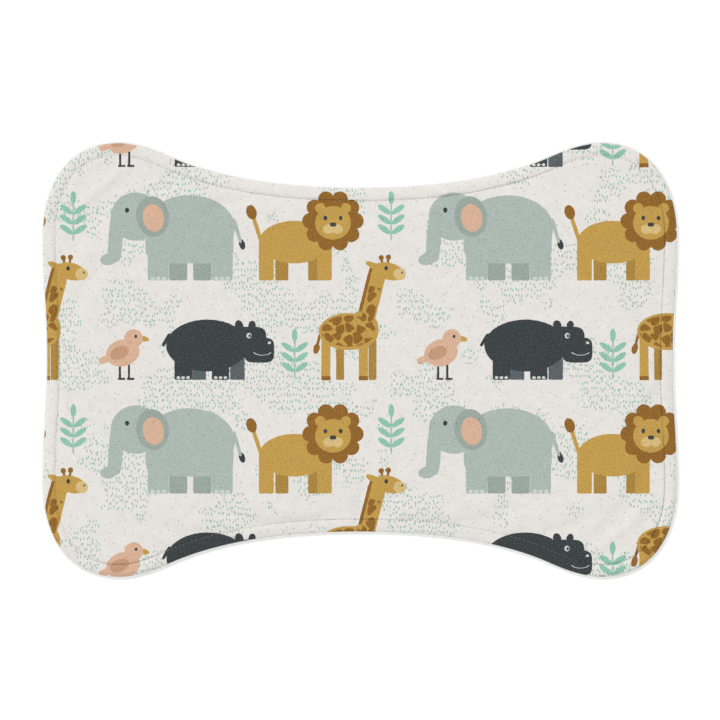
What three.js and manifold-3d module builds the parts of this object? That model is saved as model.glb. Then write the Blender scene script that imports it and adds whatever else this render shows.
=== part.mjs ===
// Contoured burp cloth, lying flat. A printed woven face and a brushed fleece backing are sewn
// together along the rim, turned right side out round an absorbent core, and topstitched near
// the edge. Both outer cloths keep their turned-in seam allowances, which fill the band outside
// the topstitching. Millimetres, +Z up. The origin is at the middle of the underside.

import * as THREE from "three";
import { mergeVertices } from "three/addons/utils/BufferGeometryUtils.js";
import Module from "manifold-3d";

const wasm = await Module();
wasm.setup();

// Finished outline: one quarter of it, which is mirrored into four
const overallLength = 450; // along X, over both ends
const overallWidth = 309; // along Y, over the four lobes
const waistDip = 32; // how far the middle of a long side curves in from its lobes
const endDip = 2.9; // how far the middle of a short end curves in
const cornerRun = 54.8; // a lobe's rounding, measured along X ...
const cornerRise = 66.6; // ... and along Y
const flareRun = 40.4; // from a lobe's crest to where the long side turns hollow, along X ...
const flareDrop = 11.5; // ... and along Y
const flareAngle = 22.3; // slope of the long side at that point, in degrees

// Cloth
const faceThickness = 0.7; // printed woven cotton
const backThickness = 1.4; // brushed fleece
const layerGap = 0.3; // loft between two layers that lie on each other
const rimRoll = 1.6; // how far the thicker backing rolls out past the face
const seamAllowance = 12; // turned inwards, measured from each cloth's own fold
const coreClearance = 1; // between the allowances' raw edges and the core

// Sewing
const threadHeight = 0.25; // a stitch pressed flat against the cloth
const threadWidth = 0.5;
const threadClearance = 0.15; // between a thread and the groove that it presses into the cloth
const stitchSink = 0.1; // how far the topstitching lies below the cloth's surface
const topstitchInset = 10.3; // from the rim to the topstitching
const seamBite = 1.4; // from the face's fold to the hidden seam that joins the two cloths

// Fineness of the outline's four curves and of a fold's rounding
const waistSteps = 9;
const flareSteps = 4;
const cornerSteps = 8;
const endSteps = 5;
const foldSteps = 2;
const cutOver = 1; // how far a cutting solid runs past the surface that it cuts

// Heights above the surface that the cloth lies on
const backTop = 2 * backThickness + layerGap; // over the backing's allowance
const faceBottom = backTop + layerGap; // under the face's allowance
const faceTop = faceBottom + 2 * faceThickness + layerGap;
const coreBottom = backThickness + layerGap;
const coreTop = faceTop - faceThickness - layerGap;

const grooveWidth = threadWidth + 2 * threadClearance;
const stitchDepth = stitchSink + threadHeight + threadClearance;
const seamDepth = (threadHeight + 2 * threadClearance - layerGap) / 2;
const seamInset = rimRoll + seamBite;

function curve(steps, from, handleFrom, handleTo, to) {
  return { steps, path: new THREE.CubicBezierCurve(from, handleFrom, handleTo, to) };
}

// The quarter outline, from the middle of a long side round the lobe to the middle of a short end
function quarterCurves() {
  const halfLength = overallLength / 2;
  const halfWidth = overallWidth / 2;
  const waist = new THREE.Vector2(0, halfWidth - waistDip);
  const crest = new THREE.Vector2(halfLength - cornerRun, halfWidth);
  const flare = new THREE.Vector2(crest.x - flareRun, crest.y - flareDrop);
  const shoulder = new THREE.Vector2(halfLength, halfWidth - cornerRise);
  const end = new THREE.Vector2(halfLength - endDip, 0);
  const slope = THREE.MathUtils.degToRad(flareAngle);
  const uphill = new THREE.Vector2(Math.cos(slope), Math.sin(slope));

  // Each handle is a share of the stretch that it bends.
  return [
    curve(
      waistSteps,
      waist,
      new THREE.Vector2(0.47 * flare.x, waist.y),
      flare.clone().addScaledVector(uphill, -0.24 * flare.x),
      flare,
    ),
    curve(
      flareSteps,
      flare,
      flare.clone().addScaledVector(uphill, 0.12 * flareRun),
      new THREE.Vector2(crest.x - 0.42 * flareRun, crest.y),
      crest,
    ),
    curve(
      cornerSteps,
      crest,
      new THREE.Vector2(crest.x + 0.69 * cornerRun, crest.y),
      new THREE.Vector2(shoulder.x, shoulder.y + 0.53 * cornerRise),
      shoulder,
    ),
    curve(
      endSteps,
      shoulder,
      new THREE.Vector2(shoulder.x, 0.55 * shoulder.y),
      new THREE.Vector2(end.x, 0.45 * shoulder.y),
      end,
    ),
  ];
}

// Points of the quarter outline with their outward normals
function quarterPoints() {
  const curves = quarterCurves();
  const points = [];
  for (const { steps, path } of curves) {
    for (let i = 0; i < steps; i++) {
      const tangent = path.getTangent(i / steps);
      const normal = new THREE.Vector2(-tangent.y, tangent.x);
      points.push({ point: path.getPoint(i / steps), normal });
    }
  }
  points.push({ point: curves.at(-1).path.v3, normal: new THREE.Vector2(1, 0) });
  return points;
}

// The whole outline, counter-clockwise, moved inwards by a distance
function outline(inset) {
  const quarter = quarterPoints();
  const loop = [];
  for (const [signX, signY] of [[1, 1], [-1, 1], [-1, -1], [1, -1]]) {
    const inOrder = signX * signY > 0 ? quarter.toReversed() : quarter;
    for (const { point, normal } of inOrder.slice(0, -1)) {
      const moved = point.clone().addScaledVector(normal, -inset);
      loop.push(new THREE.Vector2(signX * moved.x, signY * moved.y));
    }
  }
  return loop;
}

function solidOf(geometry) {
  geometry.deleteAttribute("normal");
  geometry.deleteAttribute("uv");
  const merged = mergeVertices(geometry);
  return new wasm.Manifold(new wasm.Mesh({
    numProp: 3,
    vertProperties: merged.attributes.position.array,
    triVerts: new Uint32Array(merged.index.array),
  }));
}

// A flat slab of the outline's shape between two heights, with its edges rounded by a radius
function slab(inset, bottom, top, round = 0) {
  const geometry = new THREE.ExtrudeGeometry(new THREE.Shape(outline(inset)), {
    depth: top - bottom - 2 * round,
    bevelEnabled: round > 0,
    bevelThickness: round,
    bevelSize: round,
    bevelOffset: -round,
    bevelSegments: foldSteps,
  });
  geometry.translate(0, 0, bottom + round);
  return solidOf(geometry);
}

// A flat ring that follows the outline, with its middle line at an inset
function ring(inset, width, bottom, top) {
  const outer = slab(inset - width / 2, bottom, top);
  const hole = slab(inset + width / 2, bottom - cutOver, top + cutOver);
  return outer.subtract(hole);
}

// An outer cloth with its sheet at the bottom and its allowance turned in on top of it. The sheet
// is grooved by the topstitching, and the allowance by the seam.
function turnedCloth(inset, thickness) {
  const allowanceBottom = thickness + layerGap;
  const top = allowanceBottom + thickness;
  const window = slab(inset + seamAllowance, thickness, top + cutOver);
  return slab(inset, 0, top, 0.45 * top)
    .subtract(slab(inset + thickness, thickness, allowanceBottom))
    .subtract(window)
    .subtract(ring(topstitchInset, grooveWidth, -cutOver, stitchDepth))
    .subtract(ring(seamInset, grooveWidth, top - seamDepth, top + cutOver));
}

const printedCotton = new THREE.MeshStandardMaterial({ color: 0xece9e4, roughness: 0.9 });
const brushedFleece = new THREE.MeshStandardMaterial({ color: 0xf7f7f6, roughness: 1 });
const cottonBatting = new THREE.MeshStandardMaterial({ color: 0xefeadf, roughness: 1 });
const polyesterThread = new THREE.MeshStandardMaterial({ color: 0xe4e1dc, roughness: 0.6 });

function meshOf(name, solid, material) {
  const { numProp, numVert, vertProperties, triVerts } = solid.getMesh();
  const position = new THREE.BufferAttribute(new Float32Array(numVert * 3), 3);
  for (let i = 0; i < numVert; i++) {
    const [x, y, z] = vertProperties.subarray(i * numProp);
    position.setXYZ(i, x, y, z);
  }
  const geometry = new THREE.BufferGeometry();
  geometry.setAttribute("position", position);
  geometry.setIndex(new THREE.BufferAttribute(triVerts, 1));
  geometry.computeVertexNormals();
  const mesh = new THREE.Mesh(geometry, material);
  mesh.name = name;
  return mesh;
}

function threadMesh(name, inset, bottom) {
  const stitches = ring(inset, threadWidth, bottom, bottom + threadHeight);
  return meshOf(name, stitches, polyesterThread);
}

// The backing lies as it is made. The face is the same turned cloth, upside down on top of it.
const backPanel = meshOf("back_panel", turnedCloth(0, backThickness), brushedFleece);
const facePanel = meshOf("face_panel", turnedCloth(rimRoll, faceThickness), printedCotton);
facePanel.rotation.x = Math.PI;
facePanel.position.z = faceTop;

const coreInset = rimRoll + seamAllowance + coreClearance;
const core = meshOf("absorbent_core", slab(coreInset, coreBottom, coreTop), cottonBatting);

const burpCloth = new THREE.Group();
burpCloth.add(
  facePanel,
  backPanel,
  core,
  threadMesh("rim_seam_thread", seamInset, (backTop + faceBottom - threadHeight) / 2),
  threadMesh("topstitch_needle_thread", topstitchInset, faceTop - stitchSink - threadHeight),
  threadMesh("topstitch_bobbin_thread", topstitchInset, stitchSink),
);

export default burpCloth;
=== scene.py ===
import math

import bmesh
import bpy
import numpy as np
from mathutils import Matrix, Vector, noise
from mathutils.geometry import interpolate_bezier


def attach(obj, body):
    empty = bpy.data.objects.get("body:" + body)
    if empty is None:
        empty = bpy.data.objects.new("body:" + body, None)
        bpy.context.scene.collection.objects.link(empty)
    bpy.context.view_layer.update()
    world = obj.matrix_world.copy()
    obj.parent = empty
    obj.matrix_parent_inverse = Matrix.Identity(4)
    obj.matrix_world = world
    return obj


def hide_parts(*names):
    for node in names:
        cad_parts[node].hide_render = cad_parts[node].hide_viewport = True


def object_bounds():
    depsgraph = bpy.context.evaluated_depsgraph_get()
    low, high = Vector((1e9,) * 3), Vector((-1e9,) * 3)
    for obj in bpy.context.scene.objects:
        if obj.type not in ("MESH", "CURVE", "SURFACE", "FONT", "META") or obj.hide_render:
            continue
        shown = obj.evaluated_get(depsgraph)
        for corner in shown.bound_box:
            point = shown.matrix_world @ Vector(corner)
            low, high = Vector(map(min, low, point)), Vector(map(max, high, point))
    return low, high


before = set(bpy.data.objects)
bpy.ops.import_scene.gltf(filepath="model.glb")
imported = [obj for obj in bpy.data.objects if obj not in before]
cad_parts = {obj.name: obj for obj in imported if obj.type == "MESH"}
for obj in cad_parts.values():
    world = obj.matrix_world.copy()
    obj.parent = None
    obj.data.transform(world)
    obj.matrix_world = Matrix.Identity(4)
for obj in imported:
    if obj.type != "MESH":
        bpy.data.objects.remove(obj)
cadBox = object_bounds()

print("frame loaded:", ", ".join(sorted(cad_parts)))


def addNode(tree, kind, inputs=None, **settings):
    # one node with its settings, links and values; gives back its first open output
    node = tree.nodes.new("ShaderNode" + kind)
    for name, value in settings.items():
        setattr(node, name, value)
    sockets = [socket for socket in node.inputs if socket.enabled]
    for key, value in (inputs or {}).items():
        socket = sockets[key] if isinstance(key, int) else next(s for s in sockets if s.name == key)
        if isinstance(value, bpy.types.NodeSocket):
            tree.links.new(value, socket)
        else:
            socket.default_value = value
    return next((output for output in node.outputs if output.enabled), None)


def inkColour(hexCode):
    # an sRGB hex value as linear red, green, blue and alpha
    channels = [int(hexCode[i:i + 2], 16) / 255 for i in (0, 2, 4)]
    return [c / 12.92 if c <= 0.04045 else ((c + 0.055) / 1.055) ** 2.4 for c in channels] + [1]


# Camera, straight above the cloth

camera = {
    "lens": 100,  # mm, long enough that a flat cloth shows no perspective
    "sensor": 36,
    "seenWidth": 0.5074,  # m of the cloth's plane from one side of the picture to the other
}

clothTop = cadBox[1][2]
cameraHeight = clothTop + camera["seenWidth"] * camera["lens"] / camera["sensor"]
bpy.ops.object.camera_add(location=(0, 0, cameraHeight), rotation=(0, 0, 0))
cameraObject = bpy.context.object
cameraObject.name = "overheadCamera"
cameraObject.data.lens = camera["lens"]
cameraObject.data.sensor_width = camera["sensor"]
bpy.context.scene.camera = cameraObject
print("camera placed", round(cameraHeight, 3), "m up")


# Outline of the finished cloth

outline = {
    "waistDip": 0.032,
    "endDip": 0.0029,
    "cornerRun": 0.0548,
    "cornerRise": 0.0666,
    "flareRun": 0.0404,
    "flareDrop": 0.0115,
    "flareAngle": 22.3,
    "waistHandle": 0.47,  # how far each curve's handles reach, as a share of the run beside them
    "slopeHandle": 0.24,
    "flareHandle": 0.12,
    "crestHandle": 0.42,
    "cornerHandle": 0.69,
    "shoulderHandle": 0.53,
    "sideHandle": 0.55,
    "endHandle": 0.45,
    "samplesPerCurve": 120,
    "pointsRound": 440,  # about 3 mm apart
    "pointsToCorner": 40,  # from the middle of a short end to the corner of the lobe
    "wellInside": 0.05,  # the distance from the rim that the flat middle's map is given
}


def quarterCurves():
    # from the middle of a long side round a lobe to the middle of a short end
    halfLength = (cadBox[1][0] - cadBox[0][0]) / 2
    halfWidth = (cadBox[1][1] - cadBox[0][1]) / 2
    waist = Vector((0, halfWidth - outline["waistDip"]))
    crest = Vector((halfLength - outline["cornerRun"], halfWidth))
    flare = crest - Vector((outline["flareRun"], outline["flareDrop"]))
    shoulder = Vector((halfLength, halfWidth - outline["cornerRise"]))
    end = Vector((halfLength - outline["endDip"], 0))
    slope = math.radians(outline["flareAngle"])
    uphill = Vector((math.cos(slope), math.sin(slope)))
    return [
        (waist, Vector((outline["waistHandle"] * flare.x, waist.y)),
         flare - uphill * outline["slopeHandle"] * flare.x, flare),
        (flare, flare + uphill * outline["flareHandle"] * outline["flareRun"],
         Vector((crest.x - outline["crestHandle"] * outline["flareRun"], crest.y)), crest),
        (crest, Vector((crest.x + outline["cornerHandle"] * outline["cornerRun"], crest.y)),
         Vector((shoulder.x, shoulder.y + outline["shoulderHandle"] * outline["cornerRise"])), shoulder),
        (shoulder, Vector((shoulder.x, outline["sideHandle"] * shoulder.y)),
         Vector((end.x, outline["endHandle"] * shoulder.y)), end),
    ]


def rimLoop(count):
    # points evenly spaced round the rim, counter-clockwise from the middle of the right-hand end,
    # with their outward normals
    quarter = []
    for start, leave, arrive, stop in quarterCurves():
        points = interpolate_bezier(start, leave, arrive, stop, outline["samplesPerCurve"])
        quarter += [tuple(point) for point in points[:-1]]
    quarter.append(tuple(quarterCurves()[-1][-1]))
    upper = quarter[::-1] + [(-x, y) for x, y in quarter[1:]]
    dense = np.array(upper + [(x, -y) for x, y in upper[-2:0:-1]])
    closed = np.vstack([dense, dense[:1]])
    run = np.concatenate([[0], np.cumsum(np.linalg.norm(np.diff(closed, axis=0), axis=1))])
    at = np.arange(count) * run[-1] / count
    points = np.stack([np.interp(at, run, closed[:, 0]), np.interp(at, run, closed[:, 1])], axis=1)
    along = np.roll(points, -1, axis=0) - np.roll(points, 1, axis=0)
    along /= np.linalg.norm(along, axis=1)[:, None]
    normals = np.stack([along[:, 1], -along[:, 0]], axis=1)
    return points, normals, run[-1]


rimPoints, rimNormals, rimLength = rimLoop(outline["pointsRound"])


def insetLoop(inset):
    return rimPoints - rimNormals * inset


print("rim length", round(rimLength, 3), "m")


# Outer cloths. Each is one sheet: the raw edge of its turned-in allowance, the fold at the rim,
# the hem, the pressed line of topstitching, and the flat middle.

facePanel = {
    "foldInset": 0.0016,  # the backing rolls out this far past the face
    "allowance": 0.012,
    "thickness": 0.00035,
    "section": [  # distance in from the rim and height of the cloth's outer side, in mm
        (13.6, 3.42), (8.5, 3.38), (3.4, 3.38), (2.3, 3.46), (1.62, 3.75), (1.75, 4.10),
        (2.5, 4.55), (3.8, 5.10), (5.6, 5.50), (7.6, 5.60), (9.2, 5.35), (9.85, 4.98),
        (10.3, 4.40), (10.8, 4.74), (12.2, 4.94), (14.4, 5.14), (17.6, 5.32),
    ],
    "pinned": [0, 1, 2, 3, 4, 5, 6, 12],  # section points that sewing and folding hold
    "slack": 0.012,  # spare cloth between the lines of sewing
    "pressure": 1.2,
    "mostPuff": 0.0016,
    "mostSlide": 0.0008,
    "mostSink": 0.0001,  # the batting holds the cloth up
    "settling": 20,  # steps of the simulation
}

backPanel = {
    "foldInset": 0.0,
    "allowance": 0.012,
    "thickness": 0.0012,
    "section": [
        (12.0, 3.12), (6.5, 3.12), (2.6, 3.14), (1.7, 3.30), (1.0, 3.34), (0.5, 3.20),
        (0.15, 2.80), (0.0, 2.10), (0.05, 1.30), (0.3, 0.75), (1.0, 0.28), (2.4, 0.05), (5.5, 0.0),
        (8.6, 0.02), (9.7, 0.18), (10.3, 0.38), (10.9, 0.18), (12.0, 0.02), (14.0, 0.0), (17.0, 0.0),
    ],
}


def filledMiddle(ring, height):
    # a grid of points that fills the loop, blended from its four sides
    corner = outline["pointsToCorner"]
    count = len(ring)
    rightSide = np.array([ring[i % count] for i in range(-corner, corner + 1)])
    topSide = ring[corner:count // 2 - corner + 1][::-1]
    leftSide = ring[count // 2 - corner:count // 2 + corner + 1][::-1]
    bottomSide = ring[count // 2 + corner:count - corner + 1]
    u = np.linspace(0, 1, len(topSide))[None, :, None]
    v = np.linspace(0, 1, len(rightSide))[:, None, None]
    between = (1 - v) * bottomSide[None] + v * topSide[None]
    across = (1 - u) * leftSide[:, None] + u * rightSide[:, None]
    corners = ((1 - u) * (1 - v) * bottomSide[0] + u * (1 - v) * bottomSide[-1]
               + (1 - u) * v * topSide[0] + u * v * topSide[-1])
    flat = between + across - corners
    return np.concatenate([flat, np.full(flat.shape[:2] + (1,), height)], axis=2)


def sewnSheet(name, panel, facingUp):
    # the open sheet, before it has a thickness
    bm = bmesh.new()
    rings = []
    for inset, height in panel["section"]:
        loop = insetLoop(inset / 1000)
        rings.append([bm.verts.new((x, y, height / 1000)) for x, y in loop])
    runMap = bm.loops.layers.uv.new("alongRim")
    count = outline["pointsRound"]
    step = rimLength / count
    for outer, inner, (outset, _), (inset, _) in zip(
            rings, rings[1:], panel["section"], panel["section"][1:]):
        for i in range(count):
            after = (i + 1) % count
            quad = [outer[i], outer[after], inner[after], inner[i]]
            here, there = i * step, (i + 1) * step
            spots = [(here, outset), (there, outset), (there, inset), (here, inset)]
            if not facingUp:
                quad.reverse()
                spots.reverse()
            face = bm.faces.new(quad)
            for loop, (run, distance) in zip(face.loops, spots):
                loop[runMap].uv = (run, distance / 1000)

    middle = filledMiddle(insetLoop(panel["section"][-1][0] / 1000), panel["section"][-1][1] / 1000)
    rows, columns = middle.shape[:2]
    corner = outline["pointsToCorner"]
    verts = {}
    for row in range(rows):
        for column in range(columns):
            if column == columns - 1:
                vert = rings[-1][(row - corner) % count]
            elif row == rows - 1:
                vert = rings[-1][corner + columns - 1 - column]
            elif column == 0:
                vert = rings[-1][count // 2 + corner - row]
            elif row == 0:
                vert = rings[-1][count // 2 + corner + column]
            else:
                vert = bm.verts.new(middle[row, column])
            verts[row, column] = vert
    for row in range(rows - 1):
        for column in range(columns - 1):
            quad = [verts[row, column], verts[row, column + 1],
                    verts[row + 1, column + 1], verts[row + 1, column]]
            if not facingUp:
                quad.reverse()
            face = bm.faces.new(quad)
            for loop in face.loops:
                loop[runMap].uv = (0, outline["wellInside"])
    mesh = bpy.data.meshes.new(name)
    bm.to_mesh(mesh)
    bm.free()
    sheet = bpy.data.objects.new(name, mesh)
    bpy.context.collection.objects.link(sheet)
    return sheet


def pickOnly(piece):
    bpy.ops.object.select_all(action="DESELECT")
    piece.select_set(True)
    bpy.context.view_layer.objects.active = piece


def puffUp(sheet, panel):
    # the cloth swells a little between its lines of sewing, as loosely held cloth does
    count = outline["pointsRound"]
    group = sheet.vertex_groups.new(name="sewn")
    for ring in panel["pinned"]:
        group.add(list(range(ring * count, (ring + 1) * count)), 1, "REPLACE")
    before = np.array([vert.co[:] for vert in sheet.data.vertices])
    cloth = sheet.modifiers.new("Cloth", "CLOTH")
    cloth.settings.quality = 6
    cloth.settings.mass = 0.15
    cloth.settings.tension_stiffness = 12
    cloth.settings.compression_stiffness = 12
    cloth.settings.bending_stiffness = 0.4
    cloth.settings.vertex_group_mass = "sewn"
    cloth.settings.shrink_min = -panel["slack"]
    cloth.settings.use_pressure = True
    cloth.settings.uniform_pressure_force = panel["pressure"]
    cloth.settings.effector_weights.gravity = 0
    cloth.collision_settings.use_collision = False
    cloth.point_cache.frame_end = panel["settling"]
    for step in range(panel["settling"]):
        bpy.context.scene.frame_set(step + 1)
    pickOnly(sheet)
    bpy.ops.object.modifier_apply(modifier="Cloth")
    bpy.context.scene.frame_set(1)
    sheet.vertex_groups.clear()
    after = np.array([vert.co[:] for vert in sheet.data.vertices])
    moved = after - before
    print("  cloth moved up to", round(float(np.abs(moved).max()) * 1000, 2), "mm")
    moved[:, :2] = np.clip(moved[:, :2], -panel["mostSlide"], panel["mostSlide"])
    limit = panel["mostPuff"]
    moved[:, 2] = limit * np.tanh(np.maximum(moved[:, 2], -panel["mostSink"]) / limit)
    for vert, place in zip(sheet.data.vertices, before + moved):
        vert.co = place


def giveThickness(sheet, thickness):
    pickOnly(sheet)
    solid = sheet.modifiers.new("Solidify", "SOLIDIFY")
    solid.thickness = thickness
    solid.offset = -1
    solid.use_quality_normals = True
    solid.material_offset = 1
    bpy.ops.object.modifier_apply(modifier="Solidify")
    bpy.ops.object.shade_smooth()


facePiece = sewnSheet("printedFace", facePanel, facingUp=True)
puffUp(facePiece, facePanel)
print("face laid:", len(facePiece.data.vertices), "points")

backPiece = sewnSheet("fleeceBacking", backPanel, facingUp=False)
print("backing laid")


# Absorbent core, a slab of batting between the cloths, with a soft torn edge

batting = {
    "loft": [  # distance in from the rim and height, in mm, from the outermost edge to the middle
        (14.6, 2.9), (14.9, 3.7), (16.0, 4.2), (18.5, 4.45), (22.0, 4.5),
    ],
    "below": [
        (14.6, 2.9), (14.9, 2.1), (16.0, 1.65), (18.5, 1.55), (22.0, 1.5),
    ],
    "lump": 0.00012,  # how far the loft wanders up and down
    "lumpSize": 0.018,
    "weld": 0.00001,
}


def battingSlab(name):
    # an upper and a lower half, welded round the edge
    upper = sewnSheet(name, {"section": batting["loft"]}, facingUp=True)
    lower = sewnSheet(name + "Lower", {"section": batting["below"]}, facingUp=False)
    pickOnly(upper)
    lower.select_set(True)
    bpy.ops.object.join()
    bpy.ops.object.mode_set(mode="EDIT")
    bpy.ops.mesh.select_all(action="SELECT")
    bpy.ops.mesh.remove_doubles(threshold=batting["weld"])
    bpy.ops.object.mode_set(mode="OBJECT")
    for vert in upper.data.vertices:
        vert.co.z += batting["lump"] * noise.noise(vert.co / batting["lumpSize"])
    bpy.ops.object.shade_smooth()
    return upper


corePiece = battingSlab("battingCore")
print("core laid")


# Stitches. One pressed-down stitch is modelled, then repeated along the cloth's rim.

stitching = {
    "needleInset": 0.0103,
    "needleHeight": 0.00444,
    "bobbinHeight": 0.00036,
    "seamInset": 0.0030,
    "seamHeight": 0.00324,
    "pitch": 0.0030,  # from one needle hole to the next
    "length": 0.0025,
    "width": 0.00036,
    "height": 0.00026,
    "dive": 0.5,  # how far its ends sink, as a share of its height
    "lookAhead": 0.001,  # a stitch points to where the rim is this much further on
}


def oneStitch():
    bpy.ops.object.select_all(action="DESELECT")
    bpy.ops.mesh.primitive_uv_sphere_add(segments=8, ring_count=6, radius=0.5)
    stitch = bpy.context.object
    bpy.ops.object.mode_set(mode="EDIT")
    bpy.ops.mesh.select_all(action="SELECT")
    bpy.ops.transform.rotate(value=math.pi / 2, orient_axis="Y", center_override=(0, 0, 0))
    bpy.ops.transform.resize(value=(stitching["length"], stitching["width"], stitching["height"]))
    bpy.ops.object.mode_set(mode="OBJECT")
    for vert in stitch.data.vertices:
        reach = vert.co.x / (stitching["length"] / 2)
        vert.co.z -= stitching["dive"] * stitching["height"] * reach ** 4  # into the needle holes
    return stitch


def stitchRow(name, master, inset, height, facing):
    bm = bmesh.new()
    loop = insetLoop(inset)
    run = np.concatenate([[0], np.cumsum(np.linalg.norm(np.roll(loop, -1, axis=0) - loop, axis=1))])
    closed = np.vstack([loop, loop[:1]])
    count = round(run[-1] / stitching["pitch"])
    at = (np.arange(count) + 0.5) * run[-1] / count
    for place in at:
        ahead = (place + stitching["lookAhead"]) % run[-1]
        here, there = (
            Vector((np.interp(spot, run, closed[:, 0]), np.interp(spot, run, closed[:, 1]), height))
            for spot in (place, ahead))
        heading = math.atan2(there.y - here.y, there.x - here.x)
        first = len(bm.verts)
        bm.from_mesh(master.data)
        bm.verts.ensure_lookup_table()
        turn = Matrix.Rotation(heading, 4, "Z") @ Matrix.Rotation(0 if facing > 0 else math.pi, 4, "X")
        bmesh.ops.transform(bm, matrix=Matrix.Translation(here) @ turn, verts=bm.verts[first:])
    mesh = bpy.data.meshes.new(name)
    bm.to_mesh(mesh)
    bm.free()
    row = bpy.data.objects.new(name, mesh)
    bpy.context.collection.objects.link(row)
    pickOnly(row)
    bpy.ops.object.shade_smooth()
    print("  ", name, count, "stitches")
    return row


stitchMaster = oneStitch()
needleRow = stitchRow(
    "topstitchNeedle", stitchMaster, stitching["needleInset"], stitching["needleHeight"], 1)
bobbinRow = stitchRow(
    "topstitchBobbin", stitchMaster, stitching["needleInset"], stitching["bobbinHeight"], -1)
seamRow = stitchRow("rimSeam", stitchMaster, stitching["seamInset"], stitching["seamHeight"], 1)
bpy.data.objects.remove(stitchMaster)
print("stitches sewn")


giveThickness(facePiece, facePanel["thickness"])
giveThickness(backPiece, backPanel["thickness"])
print("cloths thickened")


# Printed woven cotton: pigment ink on an unbleached, slubby plain weave. The ink is matt and a
# little broken by the threads, and the ground keeps its flecks of husk.

inks = {
    "ground": inkColour("E9E5E0"),
    "sage": inkColour("AFBCB5"),
    "shade": inkColour("9DAAA2"),
    "charcoal": inkColour("3C4245"),
    "slate": inkColour("5B6468"),
    "gold": inkColour("C49E4E"),
    "ochre": inkColour("AD883F"),
    "brown": inkColour("946729"),
    "peach": inkColour("DBB499"),
    "clay": inkColour("C79A7C"),
    "mint": inkColour("92C6B1"),
    "reed": inkColour("AAC3B3"),
    "chalk": inkColour("CFD7D0"),
    "straw": inkColour("D9BE82"),
    "husk": inkColour("6F675C"),
}

printRepeat = {"across": 224, "up": 150}  # mm

# Each motif is drawn in mm from its own middle and printed at each of its places. A drawing is a
# list of inked layers, from the bottom up. A shape is (kind, x, y, half width, half height) and a
# turn in degrees, or for an arc the width of its line, below 0 for a line that sags. "mirror"
# repeats a layer on the other side of that x, and "patches" breaks it into spots about that far
# apart.

elephant = {
    "places": [(92, 89)],
    "size": 1,
    "layers": [
        {"ink": "shade", "draw": [("slab", 4, -21, 6.4, 12), ("slab", 21, -21, 6.4, 12)]},
        {"ink": "charcoal", "draw": [("oval", 49, -7.6, 2.1, 3.8, 16)]},
        {"ink": "sage", "draw": [
            ("oval", 12, 4, 32, 23), ("slab", -10, -19, 7.4, 14), ("slab", 35, -19, 7.4, 14),
            ("block", 12, -6, 31, 15), ("oval", -26, 12, 17.5, 17), ("block", -40, -3, 5, 17, -4),
            ("oval", -44.6, -18, 6.4, 4.2, 12), ("block", 45.6, 2, 1.2, 9, 16)]},
        {"ink": "shade", "draw": [("oval", -14, 12, 11.5, 14.5, 10)]},
        {"ink": "peach", "draw": [("oval", -13.4, 11, 7.4, 9.8, 10)]},
        {"ink": "charcoal", "draw": [("oval", -32, 16.5, 1.5, 1.8)]},
        {"ink": "chalk", "draw": [("oval", x, -31.6, 1.6, 1.3) for x in (-14, -10, -6, 31, 35, 39)]},
    ],
}

giraffe = {
    "places": [(0, 30)],
    "size": 1,
    "layers": [
        {"ink": "ochre", "draw": [("slab", -14, -31, 2.8, 13), ("slab", 8.8, -29, 2.8, 15)]},
        {"ink": "brown", "draw": [
            ("block", -28.4, -13, 1, 8, -14), ("oval", -30.6, -22, 2.2, 3.8, -14),
            ("block", 4, 15, 2.4, 23, -14), ("block", 15.6, 38.4, 0.9, 4, 10),
            ("block", 19.6, 38.8, 0.9, 4, -6), ("oval", 14.9, 42, 1.9, 1.9), ("oval", 20, 42.4, 1.9, 1.9)]},
        {"ink": "gold", "draw": [
            ("oval", -8, -10, 21, 13), ("slab", -24, -28, 3.2, 16), ("slab", 2.4, -28, 3.2, 16),
            ("slab", 8.6, 12, 5.2, 26, -14), ("oval", 2, -8, 11, 12.5), ("oval", 20.5, 32.4, 11, 6, -14),
            ("oval", 8.6, 36.8, 4.8, 2.1, -24)]},
        {"ink": "brown", "draw": [("oval", -8, -9.6, 19, 11), ("slab", 6.6, 5, 4.2, 17, -14)],
         "patches": 7.4},
        {"ink": "straw", "draw": [("oval", 28, 30.4, 4.4, 4.2)]},
        {"ink": "charcoal", "draw": [("oval", 18.4, 34.6, 1.3, 1.6), ("oval", 29.6, 31.6, 0.6, 0.9)]},
        {"ink": "brown", "draw": [("slab", -24, -42.8, 3.3, 1.5), ("slab", 2.4, -42.8, 3.3, 1.5)]},
    ],
}

hippo = {
    "places": [(125, 9)],
    "size": 0.85,
    "layers": [
        {"ink": "slate", "draw": [("slab", -17, -18, 6, 9), ("slab", 15, -18, 6, 9)]},
        {"ink": "charcoal", "draw": [
            ("oval", -10, 1.4, 34, 21.5), ("slab", -30, -16, 7.2, 11), ("slab", 1, -16, 7.2, 11),
            ("block", 25, 4, 14, 13), ("block", 33, -2.4, 12.4, 10.4), ("oval", 16.4, 18, 3.4, 4.4, 20),
            ("oval", 27, 18, 3, 4, -10), ("block", -44, 6, 1.4, 6, -30)]},
        {"ink": "chalk", "draw": [
            ("arc", 35.6, -3, 7.6, 3.6, -0.9), ("oval", 24.6, 9.6, 2.1, 2.3), ("oval", 41.4, 3.6, 1.4, 1.1)]},
        {"ink": "charcoal", "draw": [("oval", 25.2, 9.4, 1.1, 1.3)]},
        {"ink": "chalk", "draw": [("oval", x, -25.2, 1.5, 1.2) for x in (-34, -30, -26, -3, 1, 5)]},
    ],
}

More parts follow.
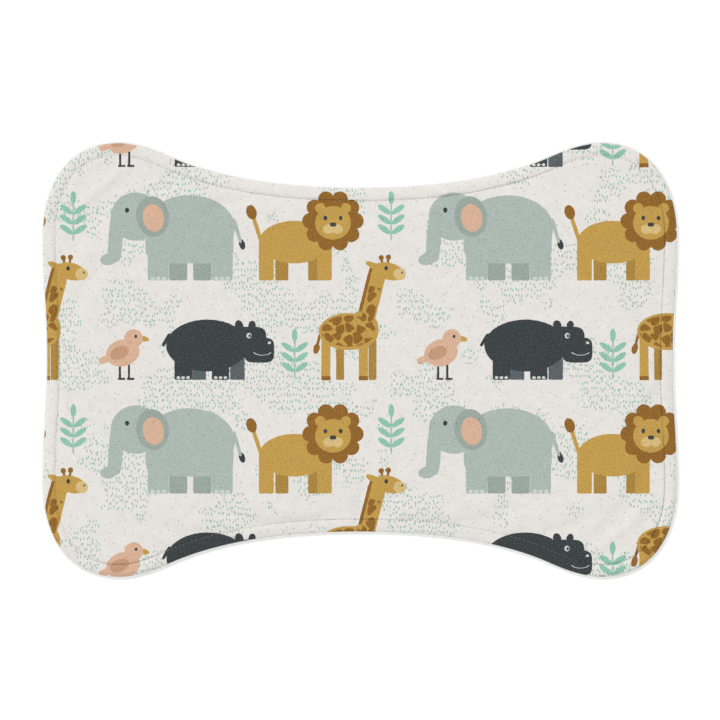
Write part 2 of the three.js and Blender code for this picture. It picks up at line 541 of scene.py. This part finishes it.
maneTufts = 10
maneTurns = [math.tau * tuft / maneTufts for tuft in range(maneTufts)]
lion = {
    "places": [(188, 88)],
    "size": 1,
    "layers": [
        {"ink": "ochre", "draw": [("slab", -19, -22, 4.6, 10), ("slab", 4, -22, 4.6, 10)]},
        {"ink": "gold", "draw": [
            ("oval", -10, -5, 25, 15), ("slab", -30, -18, 5.2, 14), ("slab", 11, -18, 5.2, 14),
            ("block", -36, 3, 1.4, 13, 18)]},
        {"ink": "brown", "draw": [("oval", -40.4, 16, 3.6, 5.2, 18), ("oval", 17, 10, 17.4, 17.4)] + [
            ("oval", 17 + 16 * math.cos(turn), 10 + 16 * math.sin(turn), 5.6, 5.6) for turn in maneTurns]},
        {"ink": "gold", "draw": [("oval", 0, 8.6, 12.6, 11.8), ("oval", 9, 19, 3.6, 3.6)], "mirror": 17},
        {"ink": "straw", "draw": [("oval", 3, 4.2, 4, 3.4)], "mirror": 17},
        {"ink": "charcoal", "draw": [("oval", 5.4, 12, 1.3, 1.6), ("block", 0, 7.4, 2.2, 1.4)], "mirror": 17},
    ],
}

bird = {
    "places": [(58, 6)],
    "size": 1,
    "layers": [
        {"ink": "charcoal", "draw": [
            ("slab", -3, -13, 0.8, 7), ("slab", 3.4, -13, 0.8, 7), ("slab", -1.8, -19.3, 2.6, 0.7),
            ("slab", 4.6, -19.3, 2.6, 0.7)]},
        {"ink": "gold", "draw": [("oval", 13.4, 9, 4.2, 1.9, -12)]},
        {"ink": "peach", "draw": [
            ("oval", -1, -1, 12, 9.4, 16), ("oval", 6.6, 9.2, 6.6, 6.4), ("block", -13, -5.4, 5, 2.4, 24)]},
        {"ink": "clay", "draw": [("oval", -3.4, -1, 7, 4.4, 24)]},
        {"ink": "charcoal", "draw": [("oval", 8.2, 10.6, 1, 1.2)]},
    ],
}

sprig = {
    "places": [(22, 101), (178, 4)],
    "size": 1,
    "layers": [
        {"ink": "reed", "draw": [("slab", 0, -3, 0.6, 14)]},
        {"ink": "mint", "draw": [("oval", 4.8, y, 5.4, 2, 35) for y in (-9, -2, 5)], "mirror": 0},
        {"ink": "mint", "draw": [("oval", 0, 13.4, 2, 4.6)]},
    ],
}


def shapeField(tree, where, kind, x, y, wide, high, extra=0):
    # under 1 inside the shape and over 1 outside it
    if extra and kind != "arc":
        placed = addNode(tree, "Mapping", {
            "Vector": where, "Location": (x, y, 0), "Rotation": (0, 0, math.radians(extra)),
            "Scale": (wide, high, 1)}, vector_type="TEXTURE")
    else:
        placed = addNode(tree, "VectorMath", {
            0: where, 1: (1 / wide, 1 / high, 0), 2: (-x / wide, -y / high, 0)}, operation="MULTIPLY_ADD")
    if kind == "oval":
        return addNode(tree, "VectorMath", {0: placed}, operation="LENGTH")
    if kind == "arc":
        reach = addNode(tree, "VectorMath", {0: placed}, operation="LENGTH")
        off = addNode(tree, "Math", {0: reach, 1: 1.0}, operation="SUBTRACT")
        away = addNode(tree, "Math", {0: off}, operation="ABSOLUTE")
        line = addNode(tree, "Math", {0: away, 1: 2 * wide / abs(extra)}, operation="MULTIPLY")
        parts = addNode(tree, "SeparateXYZ", {0: placed}).node
        half = addNode(tree, "Math", {0: parts.outputs["Y"], 1: -math.copysign(9, extra), 2: 4.0},
                       operation="MULTIPLY_ADD")
        return addNode(tree, "Math", {0: line, 1: half}, operation="MAXIMUM")
    squared = addNode(tree, "VectorMath", {0: placed, 1: placed}, operation="MULTIPLY")
    for _ in range(2 if kind == "slab" else 0):  # a slab's corners are sharper than a block's
        squared = addNode(tree, "VectorMath", {0: squared, 1: squared}, operation="MULTIPLY")
    return addNode(tree, "VectorMath", {0: squared, 1: squared}, operation="DOT_PRODUCT")


def togetherField(tree, where, shapes):
    found = None
    for shape in shapes:
        field = shapeField(tree, where, *shape)
        found = field if found is None else addNode(tree, "Math", {0: found, 1: field}, operation="MINIMUM")
    return found


def mirroredPlace(tree, where, x):
    moved = addNode(tree, "VectorMath", {0: where, 1: (x, 0, 0)}, operation="SUBTRACT")
    parts = addNode(tree, "SeparateXYZ", {0: moved}).node
    side = addNode(tree, "Math", {0: parts.outputs["X"]}, operation="ABSOLUTE")
    return addNode(tree, "CombineXYZ", {"X": side, "Y": parts.outputs["Y"]})


def patchesField(tree, where, size):
    # a giraffe's patches, rounded, uneven and well apart
    uneven = addNode(tree, "TexNoise", {"Vector": where, "Scale": 0.16, "Detail": 0.0}, noise_dimensions="2D")
    unevenColour = uneven.node.outputs["Color"]
    scaled = addNode(tree, "VectorMath", {0: where, "Scale": 1 / size}, operation="SCALE")
    pulled = addNode(tree, "VectorMath", {0: unevenColour, 1: (0.55, 0.55, 0), 2: scaled},
                     operation="MULTIPLY_ADD")
    patch = addNode(tree, "TexVoronoi", {"Vector": pulled, "Scale": 1.0, "Randomness": 0.5},
                    voronoi_dimensions="2D")
    return addNode(tree, "Math", {0: patch, 1: 1 / 0.43}, operation="MULTIPLY")


def motifPlace(tree, cloth, middle, size):
    # from the nearest repeat of a motif's middle, in its drawing's own mm
    moved = addNode(tree, "VectorMath", {0: cloth, 1: (middle[0], middle[1], 0)}, operation="SUBTRACT")
    across, up = printRepeat["across"] / 2, printRepeat["up"] / 2
    near = addNode(tree, "VectorMath", {0: moved, 1: (across, up, 1), 2: (-across, -up, -1)},
                   operation="WRAP")
    return addNode(tree, "VectorMath", {0: near, "Scale": 1 / size}, operation="SCALE")


def printMotif(tree, colour, where, motif):
    for layer in motif["layers"]:
        place = mirroredPlace(tree, where, layer["mirror"]) if "mirror" in layer else where
        field = togetherField(tree, place, layer["draw"])
        if "patches" in layer:
            patches = patchesField(tree, where, layer["patches"])
            field = addNode(tree, "Math", {0: field, 1: patches}, operation="MAXIMUM")
        mask = addNode(tree, "Math", {0: field, 1: 1.0}, operation="LESS_THAN")
        colour = addNode(tree, "Mix", {"Factor": mask, "A": colour, "B": inks[layer["ink"]]},
                         data_type="RGBA")
    return colour


def newMaterial(name):
    material = bpy.data.materials.new(name)
    material.use_nodes = True
    tree = material.node_tree
    tree.nodes.clear()
    return material, tree


def clothPlace(tree):
    # the cloth's own place in mm, with the height left out
    place = addNode(tree, "TexCoord").node.outputs["Object"]
    return addNode(tree, "VectorMath", {0: place, 1: (1000, 1000, 0)}, operation="MULTIPLY")


cotton = {
    "threadPitch": 0.9,  # mm. Real threads are about 0.45 mm apart, and are drawn coarser so that they show.
    "slubLength": 0.16,  # how much slower a thread changes along its length than across it
    "relief": 0.00009,  # m, of the weave
    "creep": 0.25,  # mm that ink may spread either way along the threads
    "dashAcross": 2.1,  # mm from one dash to the next
    "dashUp": 4.4,
    "dashRadius": 0.22,  # share of its own cell
    "cloudScale": 0.022,  # clouds of dashes are about 45 mm across
    "huskApart": 8.5,  # mm
    "huskRadius": 0.045,
    "huskStrength": 0.6,
    "gatherReach": 0.0028,  # m on each side of the topstitching
    "gatherDepth": 0.00012,
}


def weaveHeight(tree, cloth):
    # warp and weft with slubs: two sets of long thin streaks across each other
    heights = []
    across, along = 1 / cotton["threadPitch"], cotton["slubLength"] / cotton["threadPitch"]
    for stretch in ((along, across, 0), (across, along, 0)):
        streaks = addNode(tree, "VectorMath", {0: cloth, 1: stretch}, operation="MULTIPLY")
        heights.append(addNode(tree, "TexNoise", {
            "Vector": streaks, "Scale": 1.0, "Detail": 2.0, "Roughness": 0.6}, noise_dimensions="2D"))
    return addNode(tree, "Math", {0: heights[0], 1: heights[1]}, operation="ADD")


def printedCotton():
    material, tree = newMaterial("printedCottonPlainWeave")
    cloth = clothPlace(tree)

    # ink creeps along the threads, so the edges of the drawing wander by about 0.2 mm
    creep = addNode(tree, "TexNoise", {"Vector": cloth, "Scale": 0.7, "Detail": 1.0}, noise_dimensions="2D")
    creepColour = creep.node.outputs["Color"]
    most = cotton["creep"]
    drift = addNode(tree, "VectorMath", {0: creepColour, 1: (2 * most, 2 * most, 0), 2: (-most, -most, 0)},
                    operation="MULTIPLY_ADD")
    inked = addNode(tree, "VectorMath", {0: cloth, 1: drift}, operation="ADD")

    # mint dashes in soft clouds on the open ground, about 0.9 mm by 1.9 mm
    clouds = addNode(tree, "TexNoise", {"Vector": cloth, "Scale": cotton["cloudScale"], "Detail": 2.0},
                     noise_dimensions="2D")
    cloud = addNode(tree, "Math", {0: clouds, 1: 0.52}, operation="GREATER_THAN")
    cells = (1 / cotton["dashAcross"], 1 / cotton["dashUp"], 0)
    tall = addNode(tree, "VectorMath", {0: inked, 1: cells}, operation="MULTIPLY")
    dashes = addNode(tree, "TexVoronoi", {"Vector": tall, "Scale": 1.0, "Randomness": 0.72},
                     voronoi_dimensions="2D")
    dashColour = dashes.node.outputs["Color"]
    dash = addNode(tree, "Math", {0: dashes, 1: cotton["dashRadius"]}, operation="LESS_THAN")
    dashMask = addNode(tree, "Math", {0: dash, 1: cloud}, operation="MULTIPLY")
    tint = addNode(tree, "Mix", {"Factor": dashColour, "A": inks["mint"], "B": inks["reed"]},
                   data_type="RGBA")
    colour = addNode(tree, "Mix", {"Factor": dashMask, "A": inks["ground"], "B": tint}, data_type="RGBA")

    for motif in (elephant, giraffe, hippo, lion, bird, sprig):
        for middle in motif["places"]:
            colour = printMotif(tree, colour, motifPlace(tree, inked, middle, motif["size"]), motif)

    # husk flecks, dark and about 0.7 mm wide, scattered over print and ground alike
    huskCells = addNode(tree, "VectorMath", {0: cloth, "Scale": 1 / cotton["huskApart"]}, operation="SCALE")
    husks = addNode(tree, "TexVoronoi", {"Vector": huskCells, "Scale": 1.0, "Randomness": 1.0},
                    voronoi_dimensions="2D")
    husk = addNode(tree, "Math", {0: husks, 1: cotton["huskRadius"]}, operation="LESS_THAN")
    huskStrength = addNode(tree, "Math", {0: husk, 1: cotton["huskStrength"]}, operation="MULTIPLY")
    colour = addNode(tree, "Mix", {"Factor": huskStrength, "A": colour, "B": inks["husk"]},
                     data_type="RGBA", blend_type="DARKEN")

    # ink lies thicker and thinner on the threads, which shows most where it is dark
    stipple = addNode(tree, "TexNoise", {"Vector": cloth, "Scale": 1.0, "Detail": 2.0, "Roughness": 0.75},
                      noise_dimensions="2D")
    density = addNode(tree, "MapRange", {
        "Value": stipple, "From Min": 0.3, "From Max": 0.7, "To Min": 0.82, "To Max": 1.22})
    colour = addNode(tree, "Gamma", {"Color": colour, "Gamma": density})

    # painted shade and highlight: warp and weft catch the light apart, painted here into the colour as
    # lighter and darker threads, and the whole cloth is faintly mottled
    weave = weaveHeight(tree, cloth)
    threadShade = addNode(tree, "MapRange", {
        "Value": weave, "From Min": 0.6, "From Max": 1.4, "To Min": 0.94, "To Max": 1.04})
    mottle = addNode(tree, "TexNoise", {"Vector": cloth, "Scale": 0.12, "Detail": 3.0, "Roughness": 0.6},
                     noise_dimensions="2D")
    mottleShade = addNode(tree, "MapRange", {
        "Value": mottle, "From Min": 0.3, "From Max": 0.7, "To Min": 0.97, "To Max": 1.02})
    shade = addNode(tree, "Math", {0: threadShade, 1: mottleShade}, operation="MULTIPLY")
    mottledThreadShadedColour = addNode(tree, "VectorMath", {0: colour, "Scale": shade}, operation="SCALE")

    # the cloth gathers a little at every stitch of the topstitching
    runMap = addNode(tree, "UVMap", uv_map="alongRim")
    runParts = addNode(tree, "SeparateXYZ", {0: runMap}).node
    stitchWave = addNode(tree, "Math", {0: runParts.outputs["X"], 1: math.tau / stitching["pitch"]},
                         operation="MULTIPLY")
    ripple = addNode(tree, "Math", {0: stitchWave}, operation="SINE")
    fromStitch = addNode(tree, "Math", {0: runParts.outputs["Y"], 1: stitching["needleInset"]},
                         operation="SUBTRACT")
    spread = addNode(tree, "Math", {0: fromStitch}, operation="ABSOLUTE")
    fade = addNode(tree, "MapRange", {
        "Value": spread, "From Min": 0.0, "From Max": cotton["gatherReach"],
        "To Min": cotton["gatherDepth"], "To Max": 0.0})
    gather = addNode(tree, "Math", {0: ripple, 1: fade}, operation="MULTIPLY")
    height = addNode(tree, "Math", {0: weave, 1: cotton["relief"], 2: gather}, operation="MULTIPLY_ADD")
    bump = addNode(tree, "Bump", {"Height": height, "Strength": 0.7, "Distance": 1.0})

    rough = addNode(tree, "MapRange", {
        "Value": weave, "From Min": 0.6, "From Max": 1.4, "To Min": 0.95, "To Max": 0.82})
    shader = addNode(tree, "BsdfPrincipled", {
        "Base Color": mottledThreadShadedColour, "Roughness": rough, "Normal": bump, "IOR": 1.47,
        "Specular IOR Level": 0.25, "Sheen Weight": 0.12, "Sheen Roughness": 0.5})
    addNode(tree, "OutputMaterial", {"Surface": shader})
    return material


def wrongSideCotton():
    # the unprinted inside of the same cloth: bare ecru threads
    material, tree = newMaterial("unprintedCottonPlainWeave")
    cloth = clothPlace(tree)
    weave = weaveHeight(tree, cloth)
    colour = addNode(tree, "ValToRGB", {"Fac": weave})
    ramp = colour.node.color_ramp
    ramp.elements[0].position = 0.6
    ramp.elements[0].color = inkColour("D8D3C8")
    ramp.elements[1].position = 1.0
    ramp.elements[1].color = inkColour("EDEAE3")
    bump = addNode(tree, "Bump", {"Height": weave, "Strength": 0.6, "Distance": cotton["relief"]})
    shader = addNode(tree, "BsdfPrincipled", {
        "Base Color": colour, "Roughness": 0.9, "Normal": bump, "IOR": 1.47, "Specular IOR Level": 0.25})
    addNode(tree, "OutputMaterial", {"Surface": shader})
    return material


def brushedFleece():
    # polyester microfleece, knitted and brushed: a soft white nap with small pills and a pale sheen
    material, tree = newMaterial("whiteBrushedFleece")
    place = addNode(tree, "TexCoord").node.outputs["Object"]
    nap = addNode(tree, "TexNoise", {"Vector": place, "Scale": 900.0, "Detail": 3.0, "Roughness": 0.65})
    pills = addNode(tree, "TexVoronoi", {"Vector": place, "Scale": 420.0, "Randomness": 1.0})  # about 2.4 mm
    lumps = addNode(tree, "TexNoise", {"Vector": place, "Scale": 160.0, "Detail": 2.0})
    pillHeight = addNode(tree, "Math", {0: pills, 1: -0.6, 2: nap}, operation="MULTIPLY_ADD")
    height = addNode(tree, "Math", {0: lumps, 1: 0.8, 2: pillHeight}, operation="MULTIPLY_ADD")
    colour = addNode(tree, "ValToRGB", {"Fac": nap})
    ramp = colour.node.color_ramp
    ramp.elements[0].position = 0.3
    ramp.elements[0].color = inkColour("EFEFEC")
    ramp.elements[1].position = 0.65
    ramp.elements[1].color = inkColour("FBFBF9")
    bump = addNode(tree, "Bump", {"Height": height, "Strength": 0.9, "Distance": 0.0005})
    shader = addNode(tree, "BsdfPrincipled", {
        "Base Color": colour, "Roughness": 1.0, "Normal": bump, "IOR": 1.5, "Specular IOR Level": 0.2,
        "Sheen Weight": 0.35, "Sheen Roughness": 0.6})
    addNode(tree, "OutputMaterial", {"Surface": shader})
    return material


def needledBatting():
    # cotton batting, carded and needle-punched: cream fibre with seed flecks and a dimple per needle
    material, tree = newMaterial("creamNeedledCottonBatting")
    place = addNode(tree, "TexCoord").node.outputs["Object"]
    fibres = addNode(tree, "TexNoise", {"Vector": place, "Scale": 500.0, "Detail": 5.0, "Roughness": 0.7,
                                        "Distortion": 1.5})
    needles = addNode(tree, "TexVoronoi", {"Vector": place, "Scale": 250.0, "Randomness": 0.5})  # 4 mm apart
    seeds = addNode(tree, "TexVoronoi", {"Vector": place, "Scale": 90.0, "Randomness": 1.0})
    seed = addNode(tree, "Math", {0: seeds, 1: 0.06}, operation="LESS_THAN")
    colour = addNode(tree, "ValToRGB", {"Fac": fibres})
    ramp = colour.node.color_ramp
    ramp.elements[0].position = 0.3
    ramp.elements[0].color = inkColour("DDD4C0")
    ramp.elements[1].position = 0.7
    ramp.elements[1].color = inkColour("F3EEE2")
    flecked = addNode(tree, "Mix", {"Factor": seed, "A": colour, "B": inkColour("9A8462")}, data_type="RGBA")
    height = addNode(tree, "Math", {0: needles, 1: 0.8, 2: fibres}, operation="MULTIPLY_ADD")
    bump = addNode(tree, "Bump", {"Height": height, "Strength": 0.8, "Distance": 0.0006})
    shader = addNode(tree, "BsdfPrincipled", {
        "Base Color": flecked, "Roughness": 1.0, "Normal": bump, "IOR": 1.47, "Specular IOR Level": 0.15,
        "Sheen Weight": 0.2})
    addNode(tree, "OutputMaterial", {"Surface": shader})
    return material


def spunThread():
    # spun polyester thread, greige: two plies twisted together, with a slight lustre
    material, tree = newMaterial("greigeSpunPolyesterThread")
    place = addNode(tree, "TexCoord").node.outputs["Object"]
    plies = addNode(tree, "TexWave", {"Vector": place, "Scale": 900.0, "Distortion": 1.5, "Detail": 1.0},
                    wave_type="BANDS", bands_direction="DIAGONAL")
    colour = addNode(tree, "ValToRGB", {"Fac": plies})
    ramp = colour.node.color_ramp
    ramp.elements[0].color = inkColour("8F8A81")
    ramp.elements[1].color = inkColour("ACA79D")
    bump = addNode(tree, "Bump", {"Height": plies, "Strength": 0.5, "Distance": 0.00006})
    shader = addNode(tree, "BsdfPrincipled", {
        "Base Color": colour, "Roughness": 0.55, "Normal": bump, "IOR": 1.55, "Sheen Weight": 0.2})
    addNode(tree, "OutputMaterial", {"Surface": shader})
    return material


cottonFace = printedCotton()
cottonInside = wrongSideCotton()
fleece = brushedFleece()
battingFibre = needledBatting()
thread = spunThread()
print("materials made,", len(cottonFace.node_tree.nodes), "nodes in the print")


def dress(piece, *materials):
    piece.data.materials.clear()
    for material in materials:
        piece.data.materials.append(material)


dress(facePiece, cottonFace, cottonInside)
for polygon in facePiece.data.polygons:
    polygon.material_index = min(polygon.material_index, 1)
dress(backPiece, fleece)
for polygon in backPiece.data.polygons:
    polygon.material_index = 0
dress(corePiece, battingFibre)
for row in (needleRow, bobbinRow, seamRow):
    dress(row, thread)


# Each piece hangs from the root body, and the frame's part that it takes the place of is hidden

for piece, node, slot in (
        (facePiece, "face_panel", "printed_cotton"),
        (backPiece, "back_panel", "brushed_fleece"),
        (corePiece, "absorbent_core", "cotton_batting"),
        (needleRow, "topstitch_needle_thread", "sewing_thread"),
        (bobbinRow, "topstitch_bobbin_thread", "sewing_thread"),
        (seamRow, "rim_seam_thread", "sewing_thread")):
    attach(piece, "root")
    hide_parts(node)

# Pale floor and soft studio light from the upper left. The floor is a lit white sweep, so it stays
# white right up to the cloth.

studio = {
    "floorSize": 6,
    "floorDrop": 0.0002,
    "floorGlow": 0.14,
    "keyFrom": (-0.36, 0.38, 0.85),  # direction that the key light comes from
    "keyPower": 1.3,
    "keySpread": 35,  # degrees across, a large softbox
    "skyStrength": 0.64,
}

floorHeight = cadBox[0][2] - studio["floorDrop"]
bpy.ops.mesh.primitive_plane_add(size=studio["floorSize"], location=(0, 0, floorHeight))
floor = bpy.context.object
floor.name = "floor"
paper, tree = newMaterial("backlitWhiteSweep")
place = addNode(tree, "TexCoord").node.outputs["Object"]
grain = addNode(tree, "TexNoise", {"Vector": place, "Scale": 300.0, "Detail": 2.0})
bump = addNode(tree, "Bump", {"Height": grain, "Strength": 0.05, "Distance": 0.0002})
shader = addNode(tree, "BsdfPrincipled", {
    "Base Color": inkColour("FCFCFC"), "Roughness": 0.95, "Normal": bump, "Specular IOR Level": 0.1,
    "Emission Color": (1, 1, 1, 1), "Emission Strength": studio["floorGlow"]})
addNode(tree, "OutputMaterial", {"Surface": shader})
dress(floor, paper)

bpy.ops.object.light_add(type="SUN", location=studio["keyFrom"])
key = bpy.context.object
key.name = "keyLight"
key.data.energy = studio["keyPower"]
key.data.angle = math.radians(studio["keySpread"])
key.rotation_euler = Vector(studio["keyFrom"]).to_track_quat("Z", "Y").to_euler()

sky = bpy.data.worlds.new("softboxRoom")
sky.use_nodes = True
sky.node_tree.nodes["Background"].inputs["Color"].default_value = (1, 1, 1, 1)
sky.node_tree.nodes["Background"].inputs["Strength"].default_value = studio["skyStrength"]
bpy.context.scene.world = sky
bpy.context.scene.view_settings.view_transform = "Standard"
print("studio lit")
